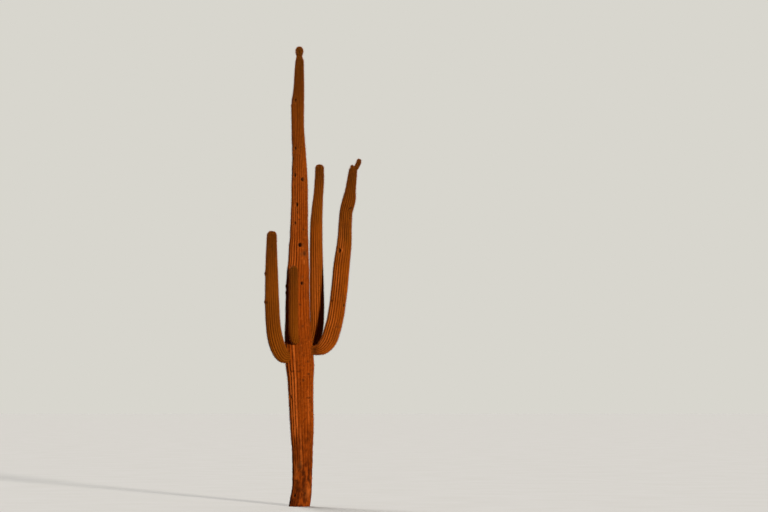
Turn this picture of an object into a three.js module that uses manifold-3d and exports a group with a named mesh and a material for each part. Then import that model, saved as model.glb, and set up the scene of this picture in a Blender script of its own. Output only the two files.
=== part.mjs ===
// A saguaro cactus: one tall ribbed trunk with a bud on its tip, and four upturned ribbed arms.
// Millimetres, +Z up. The origin is the middle of the flat cut under the trunk, at ground level.
// +X is to the right and +Y away from someone who faces the front of the plant.
import * as THREE from "three";
import { mergeVertices } from "three/addons/utils/BufferGeometryUtils.js";
import Module from "manifold-3d";

// Sizes of the whole plant
const HEIGHT = 10000; // ground to the top of the tip bud
const BUD_HEIGHT = 215; // the round bud that sits on the trunk's neck
const GAP = 0.45; // clearance between two solids that touch on the real plant
const RIB_DEPTH = 0.1; // share of the radius from a rib's crest to the furrow beside it
const WORN_RIB_DEPTH = 0.035; // the same where corky bark has filled the furrows at the foot
const WORN_HEIGHT = 500; // the bark is thickest below this height
const SOUND_HEIGHT = 1700; // and the ribs have their full depth from this height up
// One rib across: shares of its width from the middle of its crest, and how high it stands there
const RIB_PROFILE = [
  [-0.17, 1],
  [0.17, 1],
  [0.5, 0],
];
const TIP_RIB_FADE = 0.6; // how much of their depth the ribs lose over a domed tip
const TRUNK_TIP_RISE = 1.3; // how tall the dome of the tip bud is, as a share of its radius
const RING_STEP = 400; // longest stretch between two rings of a limb
const BEND_RING_STEP = 150; // the same round an elbow
const DOME_STEPS = 4; // rings from where a tip starts to round over to its top
const NEAR = 1; // a short way along a limb: no two rings are nearer, and its heading is taken over it
const SEARCH_STEP = 2; // stride of the search for the place where a limb passes a height
const WELD = 1e-3; // points nearer than this are one

// The trunk: height, radius at the rib crests, and how far its middle stands to the right
const TRUNK_RIBS = 22;
const TRUNK_STATIONS = [
  [0, 234, 0],
  [240, 222, 38],
  [470, 216, 62],
  [1120, 225, 66],
  [1770, 254, 54],
  [2320, 265, 34],
  [2750, 283, 23],
  [3080, 308, 8],
  [3620, 294, -26],
  [4060, 270, -38],
  [4490, 257, -43],
  [5040, 243, -33],
  [5320, 223, -23],
  [5660, 210, -20],
  [5780, 198, -13],
  [5905, 192, -14],
  [6560, 179, -2],
  [7100, 170, -3],
  [7640, 146, -14],
  [8190, 134, -43],
  [8750, 134, -45],
  [9060, 112, -23],
  [9490, 95, -12],
  [9690, 82, -6],
  [HEIGHT - BUD_HEIGHT, 57, -12],
  [9865, 78, -10],
  [HEIGHT, 78, -10],
];

// The arms. Each bends in one upright plane: bearing is that plane's direction, in degrees from
// +X towards +Y. A station is the distance out from the trunk's axis, the height, and the radius.
const LEFT_ARM = {
  ribs: 18,
  bearing: 205,
  stations: [
    [190, 3290, 116],
    [305, 3238, 136],
    [397, 3262, 153],
    [500, 3406, 162],
    [583, 3650, 164],
    [628, 3930, 155],
    [656, 4400, 151],
    [665, 4900, 138],
    [670, 5350, 123],
    [666, 5730, 109],
    [662, 5955, 101],
  ],
};
const RIGHT_ARM = {
  ribs: 18,
  bearing: 346,
  stations: [
    [202, 3380, 90],
    [330, 3370, 95],
    [424, 3385, 115],
    [513, 3424, 143],
    [591, 3500, 161],
    [665, 3610, 174],
    [733, 3815, 177],
    [803, 4085, 176],
    [882, 4640, 174],
    [937, 5210, 174],
    [998, 5710, 154],
    [1016, 6100, 140],
    [1037, 6380, 137],
    [1070, 6510, 143],
    [1107, 6650, 140],
    [1138, 6870, 111],
    [1168, 7090, 97],
    [1202, 7350, 80],
  ],
};
const INNER_ARM = {
  ribs: 16,
  bearing: 51,
  stations: [
    [213, 3480, 92],
    [351, 3462, 108],
    [468, 3530, 121],
    [564, 3720, 133],
    [608, 3960, 145],
    [603, 4450, 157],
    [593, 4930, 149],
    [578, 5580, 138],
    [581, 6150, 129],
    [611, 6490, 117],
    [651, 6790, 102],
    [687, 7130, 99],
    [693, 7468, 88],
  ],
};
const FRONT_ARM = {
  ribs: 14,
  bearing: 254.5,
  stations: [
    [180, 3640, 70],
    [300, 3590, 80],
    [390, 3605, 90],
    [455, 3720, 95],
    [482, 3930, 97],
    [486, 4330, 95],
    [484, 4720, 91],
    [480, 5000, 86],
    [478, 5190, 80],
  ],
};

// Two buds on the worn tip of the right arm, in the arm's own plane
const FINGER_BUD = {
  ribs: 10,
  bearing: RIGHT_ARM.bearing,
  stations: [
    [1194, 7255, 40],
    [1242, 7312, 50],
    [1289, 7376, 51],
    [1318, 7447, 49],
    [1331, 7522, 46],
  ],
};
const KNOB_BUD = {
  ribs: 8,
  bearing: RIGHT_ARM.bearing,
  stations: [
    [1182, 7270, 32],
    [1172, 7350, 35],
    [1165, 7392, 33],
  ],
};

// Heights at which the arms that stand well away are split into an elbow and an upright shaft
const LEFT_SPLIT = 3960;
const RIGHT_SPLIT = 4085;
const INNER_SPLIT = 3960;

// Nest holes that birds have pecked: height, distance to the right of the plant's axis, radius
const TRUNK_HOLES = [
  [7759, -99, 28],
  [7176, -113, 33],
  [7087, 76, 40],
  [6532, -62, 36],
  [6130, -107, 27],
  [5658, 4, 44],
  [4826, 70, 35],
];
const RIGHT_ARM_HOLES = [
  [5525, 848, 32],
  [6436, 1107, 38],
];
const HOLE_DEPTH = 110;
const HOLE_TAPER = 0.75; // a hole's width at its inner end, as a share of its mouth's
const HOLE_SIDES = 10;

const wasm = await Module();
wasm.setup();

// A smooth path through stations [x, y, z, radius], walked by distance along their chords.
function smoothPath(stations) {
  const along = [0];
  for (let i = 1; i < stations.length; i += 1) {
    const [a, b] = [stations[i - 1], stations[i]];
    along.push(along[i - 1] + Math.hypot(b[0] - a[0], b[1] - a[1], b[2] - a[2]));
  }
  const last = stations.length - 1;
  const slope = (i, k) => {
    const [lo, hi] = [Math.max(i - 1, 0), Math.min(i + 1, last)];
    return (stations[hi][k] - stations[lo][k]) / (along[hi] - along[lo]);
  };
  const at = (distance) => {
    let i = 0;
    while (i < last - 1 && distance > along[i + 1]) i += 1;
    const span = along[i + 1] - along[i];
    const t = (distance - along[i]) / span;
    const [t2, t3] = [t * t, t * t * t];
    return [0, 1, 2, 3].map(
      (k) =>
        (2 * t3 - 3 * t2 + 1) * stations[i][k] +
        (t3 - 2 * t2 + t) * span * slope(i, k) +
        (3 * t2 - 2 * t3) * stations[i + 1][k] +
        (t3 - t2) * span * slope(i + 1, k),
    );
  };
  return { along, length: along[last], at };
}

// The trunk's path: it leans only to the side, and its rings stay level.
function trunkPath() {
  return smoothPath(TRUNK_STATIONS.map(([height, radius, side]) => [side, 0, height, radius]));
}

// An arm's path, turned from its own plane into the plant's frame.
function armPath(arm) {
  const turn = THREE.MathUtils.degToRad(arm.bearing);
  return smoothPath(
    arm.stations.map(([out, height, radius]) => [
      out * Math.cos(turn),
      out * Math.sin(turn),
      height,
      radius,
    ]),
  );
}

// The distance along a path at which it last passes a height on its way up.
function distanceAtHeight(path, height) {
  let distance = path.length;
  while (distance > 0 && path.at(distance)[2] > height) distance -= SEARCH_STEP;
  return distance;
}

// Distances of the rings from start to end: at every station between them, and no further apart
// than step, with a few more over the dome if the stretch ends in the limb's tip.
function ringDistances(path, start, end, step, dome) {
  const bodyEnd = end - dome;
  const between = path.along.filter((d) => d > start + NEAR && d < bodyEnd - NEAR);
  const knots = [start, ...between, bodyEnd];
  const rings = [start];
  for (let i = 1; i < knots.length; i += 1) {
    const parts = Math.max(1, Math.ceil((knots[i] - knots[i - 1]) / step));
    for (let j = 1; j <= parts; j += 1) {
      rings.push(knots[i - 1] + ((knots[i] - knots[i - 1]) * j) / parts);
    }
  }
  for (let j = 1; dome > 0 && j < DOME_STEPS; j += 1) {
    rings.push(bodyEnd + dome * Math.sin((j / DOME_STEPS) * (Math.PI / 2)));
  }
  return rings;
}

// Depth of the ribs as a share of the radius at a height on the trunk.
function trunkRibDepth(height) {
  const sound = THREE.MathUtils.smoothstep(height, WORN_HEIGHT, SOUND_HEIGHT);
  return THREE.MathUtils.lerp(WORN_RIB_DEPTH, RIB_DEPTH, sound);
}

// A ribbed limb between two distances along its path, closed by flat ends or by a domed tip.
// side is the level direction across the plane in which the limb bends.
function limbGeometry({ path, ribs, side, level, start, end, step, dome = 0, depth, grow = 0 }) {
  const around = ribs * RIB_PROFILE.length;
  const positions = [];
  const rings = ringDistances(path, start, end, step, dome);
  for (const distance of rings) {
    const [x, y, z, radius] = path.at(distance);
    const a = path.at(Math.max(distance - NEAR, 0));
    const b = path.at(Math.min(distance + NEAR, path.length));
    const ahead = level
      ? new THREE.Vector3(0, 0, 1)
      : new THREE.Vector3(b[0] - a[0], b[1] - a[1], b[2] - a[2]).normalize();
    const across = side.clone().addScaledVector(ahead, -side.dot(ahead)).normalize();
    const up = new THREE.Vector3().crossVectors(ahead, across);
    const over = dome > 0 ? Math.max(0, (distance - (end - dome)) / dome) : 0;
    const closing = Math.sqrt(Math.max(0, 1 - over * over));
    const furrow = depth(z) * (1 - TIP_RIB_FADE * over);
    for (let i = 0; i < around; i += 1) {
      const [share, stand] = RIB_PROFILE[i % RIB_PROFILE.length];
      const angle = ((Math.floor(i / RIB_PROFILE.length) + share) / ribs) * 2 * Math.PI;
      const r = (radius + grow) * closing * (1 - furrow * (1 - stand));
      positions.push(
        x + r * (Math.cos(angle) * across.x + Math.sin(angle) * up.x),
        y + r * (Math.cos(angle) * across.y + Math.sin(angle) * up.y),
        z + r * (Math.cos(angle) * across.z + Math.sin(angle) * up.z),
      );
    }
  }
  positions.push(...path.at(start).slice(0, 3), ...path.at(end).slice(0, 3));
  return closedSkin(positions, around, rings.length);
}

// Joins rings of around points, followed by the middle of the first end and of the last.
function closedSkin(positions, around, ringCount) {
  const index = [];
  const first = ringCount * around;
  const last = first + 1;
  const top = (ringCount - 1) * around;
  for (let i = 0; i < around; i += 1) {
    const next = (i + 1) % around;
    index.push(first, next, i);
    index.push(last, top + i, top + next);
    for (let ring = 0; ring < ringCount - 1; ring += 1) {
      const [low, high] = [ring * around, (ring + 1) * around];
      index.push(low + i, low + next, high + next);
      index.push(low + i, high + next, high + i);
    }
  }
  const geometry = new THREE.BufferGeometry();
  geometry.setAttribute("position", new THREE.Float32BufferAttribute(positions, 3));
  geometry.setIndex(index);
  return geometry;
}

// A geometry as a solid that can be cut, and back.
function solidOf(geometry) {
  const bare = geometry.clone();
  bare.deleteAttribute("normal");
  bare.deleteAttribute("uv");
  const merged = mergeVertices(bare, WELD);
  return new wasm.Manifold(
    new wasm.Mesh({
      numProp: 3,
      vertProperties: new Float32Array(merged.attributes.position.array),
      triVerts: new Uint32Array(merged.index.array),
    }),
  );
}

function geometryOf(solid) {
  const mesh = solid.getMesh();
  const geometry = new THREE.BufferGeometry();
  geometry.setAttribute("position", new THREE.Float32BufferAttribute(mesh.vertProperties, 3));
  geometry.setIndex([...mesh.triVerts]);
  geometry.computeVertexNormals();
  return geometry;
}

// The largest body that a cut leaves, without the slivers beside it.
function largestBody(solid) {
  return solid.decompose().sort((a, b) => b.volume() - a.volume())[0];
}

// A short tapered plug that cuts a nest hole into the front of a limb.
function holeCutter(path, [height, right, radius]) {
  const [x, y, , limbRadius] = path.at(distanceAtHeight(path, height));
  const inwards = Math.sqrt(Math.max(0, limbRadius ** 2 - (right - x) ** 2));
  const mouth = new THREE.Vector3(right, y - inwards, height);
  const direction = new THREE.Vector3(right - x, -inwards, 0).normalize();
  const plug = new THREE.CylinderGeometry(
    radius,
    HOLE_TAPER * radius,
    2 * HOLE_DEPTH, // half of it stands clear of the limb
    HOLE_SIDES,
  );
  plug.applyQuaternion(
    new THREE.Quaternion().setFromUnitVectors(new THREE.Vector3(0, 1, 0), direction),
  );
  plug.translate(mouth.x, mouth.y, mouth.z);
  return solidOf(plug);
}

function withHoles(solid, path, holes) {
  return holes.reduce((left, hole) => left.subtract(holeCutter(path, hole)), solid);
}

// The level direction across an arm's plane
function sideOf(arm) {
  const turn = THREE.MathUtils.degToRad(arm.bearing);
  return new THREE.Vector3(Math.sin(turn), -Math.cos(turn), 0);
}

// A stretch of an arm, from one distance along it to another.
function armSolid(arm, path, start, end, extra = {}) {
  const isTip = end === path.length;
  return solidOf(
    limbGeometry({
      path,
      ribs: arm.ribs,
      side: sideOf(arm),
      start,
      end,
      step: RING_STEP,
      dome: isTip ? path.at(end)[3] : 0,
      depth: () => RIB_DEPTH,
      ...extra,
    }),
  );
}

const trunkLine = trunkPath();
const trunkShape = {
  path: trunkLine,
  ribs: TRUNK_RIBS,
  side: new THREE.Vector3(1, 0, 0),
  level: true,
  start: 0,
  end: trunkLine.length,
  step: RING_STEP,
  dome: TRUNK_TIP_RISE * trunkLine.at(trunkLine.length)[3],
  depth: trunkRibDepth,
};
const trunk = withHoles(solidOf(limbGeometry(trunkShape)), trunkLine, TRUNK_HOLES);
const roomForTrunk = solidOf(limbGeometry({ ...trunkShape, grow: GAP }));

// An arm that bends round a wide gap, as an elbow on the trunk and a shaft that stands on it.
function splitArm(arm, splitHeight) {
  const path = armPath(arm);
  const split = distanceAtHeight(path, splitHeight);
  const elbow = armSolid(arm, path, 0, split - GAP / 2, { step: BEND_RING_STEP });
  return {
    path,
    elbow: largestBody(elbow.subtract(roomForTrunk)),
    shaft: armSolid(arm, path, split + GAP / 2, path.length),
  };
}

// An arm that stands close to the trunk, in one piece.
function wholeArm(arm) {
  const path = armPath(arm);
  return largestBody(armSolid(arm, path, 0, path.length).subtract(roomForTrunk));
}

// The space that an upright limb needs: itself grown by the clearance, all round and at its top.
function roomFor(arm, path, start, extra = {}) {
  const grown = armSolid(arm, path, start, path.length, { ...extra, grow: GAP });
  return grown.add(grown.translate([0, 0, GAP]));
}

// A bud that grows out of a limb's tip, cut clear of the limb.
function budOn(bud, room) {
  const path = armPath(bud);
  const solid = armSolid(bud, path, 0, path.length, { step: BEND_RING_STEP });
  return largestBody(solid.subtract(room));
}

const left = splitArm(LEFT_ARM, LEFT_SPLIT);
const right = splitArm(RIGHT_ARM, RIGHT_SPLIT);
const inner = splitArm(INNER_ARM, INNER_SPLIT);
const roomForRightTip = roomFor(
  RIGHT_ARM,
  right.path,
  distanceAtHeight(right.path, RIGHT_SPLIT),
);
const roomForFinger = roomFor(FINGER_BUD, armPath(FINGER_BUD), 0, { step: BEND_RING_STEP });
const finger = budOn(FINGER_BUD, roomForRightTip);
const knob = budOn(KNOB_BUD, roomForRightTip.add(roomForFinger));

// Skin colours: the weathered trunk, and the smoother arms
const trunkSkin = new THREE.MeshStandardMaterial({ color: 0x8f4d17, roughness: 0.85 });
const armSkin = new THREE.MeshStandardMaterial({ color: 0x7f4a12, roughness: 0.8 });

const plant = new THREE.Group();
const parts = {
  trunk: [trunk, trunkSkin],
  left_arm_elbow: [left.elbow, armSkin],
  left_arm_shaft: [left.shaft, armSkin],
  right_arm_elbow: [right.elbow, armSkin],
  right_arm_shaft: [withHoles(right.shaft, right.path, RIGHT_ARM_HOLES), armSkin],
  right_arm_finger_bud: [finger, armSkin],
  right_arm_knob_bud: [knob, armSkin],
  inner_arm_elbow: [inner.elbow, armSkin],
  inner_arm_shaft: [inner.shaft, armSkin],
  front_arm: [wholeArm(FRONT_ARM), armSkin],
};
for (const [name, [solid, skin]] of Object.entries(parts)) {
  const mesh = new THREE.Mesh(geometryOf(solid), skin);
  mesh.name = name;
  plant.add(mesh);
}

export default plant;
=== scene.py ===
import math

import bpy
import numpy as np
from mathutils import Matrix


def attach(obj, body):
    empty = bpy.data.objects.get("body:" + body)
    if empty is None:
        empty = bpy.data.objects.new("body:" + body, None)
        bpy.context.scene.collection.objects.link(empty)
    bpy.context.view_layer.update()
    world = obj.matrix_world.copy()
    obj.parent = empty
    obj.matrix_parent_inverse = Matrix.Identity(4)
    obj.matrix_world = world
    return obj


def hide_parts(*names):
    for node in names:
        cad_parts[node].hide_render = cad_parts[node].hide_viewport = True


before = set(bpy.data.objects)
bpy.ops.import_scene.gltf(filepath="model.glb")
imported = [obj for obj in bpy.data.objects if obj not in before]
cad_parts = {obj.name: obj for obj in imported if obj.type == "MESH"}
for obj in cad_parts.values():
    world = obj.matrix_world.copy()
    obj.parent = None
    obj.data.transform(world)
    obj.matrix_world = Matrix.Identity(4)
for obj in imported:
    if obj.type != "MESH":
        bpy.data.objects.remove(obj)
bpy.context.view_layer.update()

SEED = 41

# The limbs

HEIGHT = 10.0
BUD_HEIGHT = 0.215  # the round bud that sits on the trunk's neck
RIB_DEPTH = 0.085  # share of the radius from a rib's crest to the furrow beside it
WORN_RIB_DEPTH = 0.035  # the same where corky bark has filled the furrows at the foot
WORN_HEIGHT = 0.5
SOUND_HEIGHT = 1.7
DEEP_RIB_DEPTH = 0.105  # on the arms, and on the trunk below them
DEEP_HEIGHT = (2.9, 3.8)
# How far the younger skin reaches down from a tip
YOUNG_LENGTH = dict(trunk=6.0, left_arm=2.4, right_arm=2.6, inner_arm=1.9, front_arm=1.9)
TIP_RIB_FADE = 0.6  # how much of their depth the ribs lose over a domed tip
TRUNK_TIP_RISE = 1.3  # how tall the dome of the tip bud is, as a share of its radius
# Where the skin is sampled round each rib, in shares of the rib's width from its crest
SAMPLES_PER_RIB = (-0.42, -0.29, -0.14, 0.0, 0.14, 0.29, 0.42, 0.5)

# The trunk: height, radius at the rib crests, and how far its middle stands to the right
TRUNK_STATIONS = [
    (0.0, 0.234, 0.0),
    (0.24, 0.222, 0.038),
    (0.47, 0.216, 0.062),
    (1.12, 0.225, 0.066),
    (1.77, 0.254, 0.054),
    (2.32, 0.265, 0.034),
    (2.75, 0.283, 0.023),
    (3.08, 0.308, 0.008),
    (3.62, 0.294, -0.026),
    (4.06, 0.27, -0.038),
    (4.49, 0.257, -0.043),
    (5.04, 0.243, -0.033),
    (5.32, 0.223, -0.023),
    (5.66, 0.21, -0.02),
    (5.78, 0.198, -0.013),
    (5.905, 0.192, -0.014),
    (6.56, 0.179, -0.002),
    (7.1, 0.17, -0.003),
    (7.64, 0.146, -0.014),
    (8.19, 0.134, -0.043),
    (8.75, 0.134, -0.045),
    (9.06, 0.112, -0.023),
    (9.49, 0.095, -0.012),
    (9.69, 0.082, -0.006),
    (HEIGHT - BUD_HEIGHT, 0.057, -0.012),
    (9.865, 0.078, -0.01),
    (HEIGHT, 0.078, -0.01),
]

# Each arm bends in one upright plane, whose direction is its bearing, from +X towards +Y.
ARMS = {
    "left_arm": dict(ribs=18, bearing=205, replaces=("left_arm_elbow", "left_arm_shaft")),
    "right_arm": dict(ribs=18, bearing=346, replaces=("right_arm_elbow", "right_arm_shaft")),
    "inner_arm": dict(ribs=16, bearing=51, replaces=("inner_arm_elbow", "inner_arm_shaft")),
    "front_arm": dict(ribs=14, bearing=254.5, replaces=("front_arm",)),
    "finger_bud": dict(ribs=10, bearing=346, replaces=("right_arm_finger_bud",)),
    "knob_bud": dict(ribs=8, bearing=346, replaces=("right_arm_knob_bud",)),
}
# The arms: distance out from the trunk's axis, height, and radius at the rib crests
ARM_STATIONS = {
    "left_arm": [
        (0.19, 3.29, 0.116),
        (0.305, 3.238, 0.136),
        (0.397, 3.262, 0.153),
        (0.5, 3.406, 0.162),
        (0.583, 3.65, 0.164),
        (0.628, 3.93, 0.155),
        (0.656, 4.4, 0.151),
        (0.665, 4.9, 0.138),
        (0.67, 5.35, 0.123),
        (0.666, 5.73, 0.109),
        (0.662, 5.955, 0.101),
    ],
    "right_arm": [
        (0.202, 3.38, 0.09),
        (0.33, 3.37, 0.095),
        (0.424, 3.385, 0.115),
        (0.513, 3.424, 0.143),
        (0.591, 3.5, 0.161),
        (0.665, 3.61, 0.174),
        (0.733, 3.815, 0.177),
        (0.803, 4.085, 0.176),
        (0.882, 4.64, 0.174),
        (0.937, 5.21, 0.174),
        (0.998, 5.71, 0.154),
        (1.016, 6.1, 0.14),
        (1.037, 6.38, 0.137),
        (1.07, 6.51, 0.143),
        (1.107, 6.65, 0.14),
        (1.138, 6.87, 0.111),
        (1.168, 7.09, 0.097),
        (1.202, 7.35, 0.08),
    ],
    "inner_arm": [
        (0.213, 3.48, 0.092),
        (0.351, 3.462, 0.108),
        (0.468, 3.53, 0.121),
        (0.564, 3.72, 0.133),
        (0.608, 3.96, 0.145),
        (0.603, 4.45, 0.157),
        (0.593, 4.93, 0.149),
        (0.578, 5.58, 0.138),
        (0.581, 6.15, 0.129),
        (0.611, 6.49, 0.117),
        (0.651, 6.79, 0.102),
        (0.687, 7.13, 0.099),
        (0.693, 7.468, 0.088),
    ],
    "front_arm": [
        (0.18, 3.64, 0.07),
        (0.3, 3.59, 0.08),
        (0.39, 3.605, 0.09),
        (0.455, 3.72, 0.095),
        (0.482, 3.93, 0.097),
        (0.486, 4.33, 0.095),
        (0.484, 4.72, 0.091),
        (0.48, 5.0, 0.086),
        (0.478, 5.19, 0.08),
    ],
    "finger_bud": [
        (1.194, 7.255, 0.04),
        (1.242, 7.312, 0.05),
        (1.289, 7.376, 0.051),
        (1.318, 7.447, 0.049),
        (1.331, 7.522, 0.046),
    ],
    "knob_bud": [
        (1.182, 7.27, 0.032),
        (1.172, 7.35, 0.035),
        (1.165, 7.392, 0.033),
    ],
}
TRUNK_RIBS = 22
RINGS = dict(
    trunk=540, left_arm=210, right_arm=270, inner_arm=240, front_arm=150,
    finger_bud=30, knob_bud=16,
)
DOME_RINGS = 14
BUDS = ("finger_bud", "knob_bud")

# Marks on the skin, as seen from the front: height, distance to the right of the origin,
# half their width, half their height, and what they are
TRUNK_MARKS = [
    (8.81, -0.108, 0.036, 0.036, "hole"),
    (8.7, -0.18, 0.02, 0.018, "lump"),
    (8.208, 0.066, 0.05, 0.07, "stain_and_painted_shade"),
    # painted shade: these two long dark strips down the trunk's upper left edge, turned from the
    # light
    (8.25, -0.183, 0.042, 0.5, "blotch_and_painted_shade"),
    (7.3, -0.183, 0.042, 0.55, "blotch_and_painted_shade"),
    (8.005, -0.165, 0.03, 0.034, "pit"),
    (7.83, -0.155, 0.03, 0.032, "pit"),
    (7.759, -0.104, 0.034, 0.036, "hole"),
    (7.67, -0.145, 0.024, 0.03, "lump"),
    (7.545, -0.15, 0.03, 0.032, "pit"),
    (7.41, -0.145, 0.024, 0.028, "lump"),
    (7.36, -0.07, 0.018, 0.022, "scar"),
    (7.176, -0.12, 0.05, 0.048, "hole"),
    (7.087, 0.076, 0.046, 0.048, "hole"),
    (6.532, -0.07, 0.045, 0.045, "hole"),
    (6.8, -0.12, 0.06, 0.35, "stain_and_painted_shade"),
    (6.5, -0.12, 0.12, 0.9, "furrowed"),
    (6.209, -0.003, 0.024, 0.026, "scar"),
    (6.13, -0.115, 0.036, 0.038, "hole"),
    (5.993, 0.084, 0.026, 0.028, "scar"),
    (5.655, 0.064, 0.04, 0.055, "callus"),
    (5.658, 0.004, 0.048, 0.052, "hole"),
    (5.465, 0.11, 0.055, 0.06, "sore"),
    (5.46, 0.018, 0.045, 0.05, "callus"),
    (5.5, 0.1, 0.09, 0.35, "worn"),
    (5.35, -0.17, 0.15, 0.45, "furrowed"),
    (5.29, 0.106, 0.04, 0.05, "pale"),
    (4.96, 0.07, 0.026, 0.04, "callus"),
    (4.826, 0.07, 0.04, 0.042, "hole"),
    (4.771, -0.311, 0.05, 0.05, "lump"),
    (4.63, -0.311, 0.054, 0.052, "lump"),
    # painted shade: the trunk darker towards its right edge, where it turns from the light
    (4.9, 0.19, 0.06, 0.5, "stain_and_painted_shade"),
    (4.363, 0.021, 0.036, 0.038, "scar"),
    # painted shade on the trunk's right edge
    (4.0, 0.215, 0.07, 0.5, "stain_and_painted_shade"),
    (3.898, 0.076, 0.026, 0.028, "scar"),
    (3.4, 0.04, 0.2, 0.5, "worn"),
    # painted shade: the trunk darker under the arms
    (3.45, 0.02, 0.22, 0.35, "stain_and_painted_shade"),
    # painted shade on the trunk's right edge
    (3.25, 0.24, 0.12, 0.35, "stain_and_painted_shade"),
    (3.13, 0.185, 0.024, 0.03, "scar"),
    # painted shade: the trunk darker under the arms
    (3.08, -0.01, 0.24, 0.2, "stain_and_painted_shade"),
    (2.914, -0.16, 0.05, 0.024, "crease"),
    (2.914, -0.02, 0.05, 0.022, "crease"),
    (2.86, 0.205, 0.04, 0.032, "scar"),
    (2.731, 0.088, 0.03, 0.034, "scar"),
    (2.364, -0.19, 0.034, 0.036, "scar"),
    (2.347, 0.205, 0.11, 0.026, "crease"),
    (2.2, -0.22, 0.16, 0.8, "furrowed"),
    # painted shade on the trunk's right edge
    (2.2, 0.26, 0.09, 0.6, "stain_and_painted_shade"),
    (2.05, 0.04, 0.13, 0.55, "worn"),
    (1.42, 0.005, 0.055, 0.11, "blotch_and_painted_shade"),
    (0.9, 0.015, 0.045, 0.11, "callus"),
    (0.855, 0.015, 0.04, 0.05, "blotch_and_painted_shade"),
    (0.75, -0.082, 0.05, 0.19, "pale"),
    (0.563, -0.082, 0.08, 0.018, "crease"),
    (0.33, 0.19, 0.07, 0.14, "pale"),
    (0.3, -0.12, 0.11, 0.3, "stain_and_painted_shade"),
    (0.295, 0.113, 0.022, 0.026, "scar"),
    (0.24, -0.103, 0.032, 0.036, "pit"),
]
MARKS = {
    "trunk": TRUNK_MARKS,
    "left_arm": [
        (5.03, -0.74, 0.06, 0.05, "knot"),
        (5.03, -0.715, 0.032, 0.034, "scar"),
        (4.413, -0.74, 0.06, 0.05, "knot"),
        (4.4, -0.715, 0.038, 0.04, "scar"),
    ],
    "right_arm": [
        (6.436, 1.107, 0.046, 0.03, "hole"),
        (6.225, 1.086, 0.026, 0.03, "scar"),
        (5.95, 1.0, 0.12, 0.28, "blotch_and_painted_shade"),
        (5.7, 0.89, 0.11, 0.45, "furrowed"),
        (5.525, 0.845, 0.048, 0.054, "hole"),
        (5.54, 0.925, 0.04, 0.06, "pale"),
        (4.9, 0.79, 0.12, 0.5, "furrowed"),
        (4.438, 0.69, 0.034, 0.034, "scar"),
        (4.34, 0.968, 0.038, 0.042, "pit"),
        (4.15, 0.68, 0.13, 0.45, "furrowed"),
        (3.89, 0.821, 0.03, 0.032, "scar"),
        (3.72, 0.8, 0.13, 0.3, "blotch_and_painted_shade"),
        (3.55, 0.56, 0.17, 0.28, "furrowed"),
        # painted shade: a dark patch where the right arm's neck meets the trunk
        (3.39, 0.33, 0.07, 0.15, "painted_shade"),
    ],
    "inner_arm": [
        (4.686, 0.435, 0.022, 0.024, "lump"),
        (4.8, 0.44, 0.02, 0.022, "scar"),
        (4.7, 0.36, 0.12, 0.9, "furrowed"),
    ],
}
# What each kind of mark does: depth of its dent and height of its rim in metres, and how far
# it smooths the ribs, deepens them, darkens, turns to grey callus and pales
NO_CHANGE = dict(dent=0.0, rim=0.0, smooth=0.0, deep=0.0, dark=0.0, callus=0.0, pale=0.0)
MARK_KINDS = {
    # a hole's darkening is painted shade inside its hollow
    "hole": dict(dent=0.085, rim=0.006, smooth=0.9, dark=1.0, callus=0.5),
    "scar": dict(dent=0.006, rim=0.002, smooth=0.7, dark=0.6, callus=0.4),
    "pit": dict(dent=0.012, rim=0.002, smooth=0.7, dark=0.9, callus=0.4),
    "sore": dict(dent=0.012, rim=0.004, smooth=0.8, dark=0.6, callus=0.6),
    "crease": dict(dent=0.009, rim=0.003, smooth=0.3, dark=0.55, callus=0.2),
    "lump": dict(dent=-0.03, smooth=0.6, dark=0.75, callus=0.3),
    "knot": dict(dent=-0.028, smooth=0.6, dark=0.8, callus=0.3),
    "worn": dict(smooth=0.75),
    "furrowed": dict(deep=1.8),
    # stain: a real stain on some marks, painted shade on others
    "stain_and_painted_shade": dict(dent=0.002, smooth=0.5, dark=0.3, callus=0.2),
    # blotch: a real dark blotch on some marks, painted shade on others
    "blotch_and_painted_shade": dict(deep=0.6, dark=0.42),
    # painted shade: darkens the skin where parts meet, and deepens the ribs there
    "painted_shade": dict(deep=0.6, dark=0.8),
    "callus": dict(dent=0.002, smooth=0.8, callus=0.7),
    "pale": dict(dent=0.001, smooth=0.5, pale=0.6),
}
SOFT_MARKS = ("worn", "furrowed", "stain_and_painted_shade", "blotch_and_painted_shade", "painted_shade", "callus", "pale")
ROUND_MARKS = ("lump", "knot")
RAGGED_HOLE = 0.07  # how far a mark's outline wanders, as a share of its size
RAGGED_MARK = 0.3
# Trunk ribs with a painted highlight on the crest: the rib, from and to which height, and how far
HIGHLIGHTED_RIBS = [
    (13, 1.5, 2.9, 0.6),
    (14, 1.5, 2.9, 0.7),
    (14, 8.0, 8.9, 0.2),
    (15, 8.0, 8.9, 0.2),
    (15, 1.6, 3.6, 0.8),
    (16, 0.8, 1.7, 0.4),
    (17, 6.3, 7.3, 0.15),
    (18, 6.3, 7.3, 0.2),
    (19, 6.3, 7.3, 0.2),
    (19, 1.8, 2.5, 0.4),
]
HIGHLIGHT_FADE = 0.15
# painted highlight: crests paler where marks deepen the furrows, on the sides the light grazes
DEEP_CREST_HIGHLIGHT = 0.34  # how far the crests pale where the furrows are deep
# How young an arm's skin stays all along it
YOUTH = {"left_arm": 0.42, "front_arm": 0.35, "inner_arm": 0.1}
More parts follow.
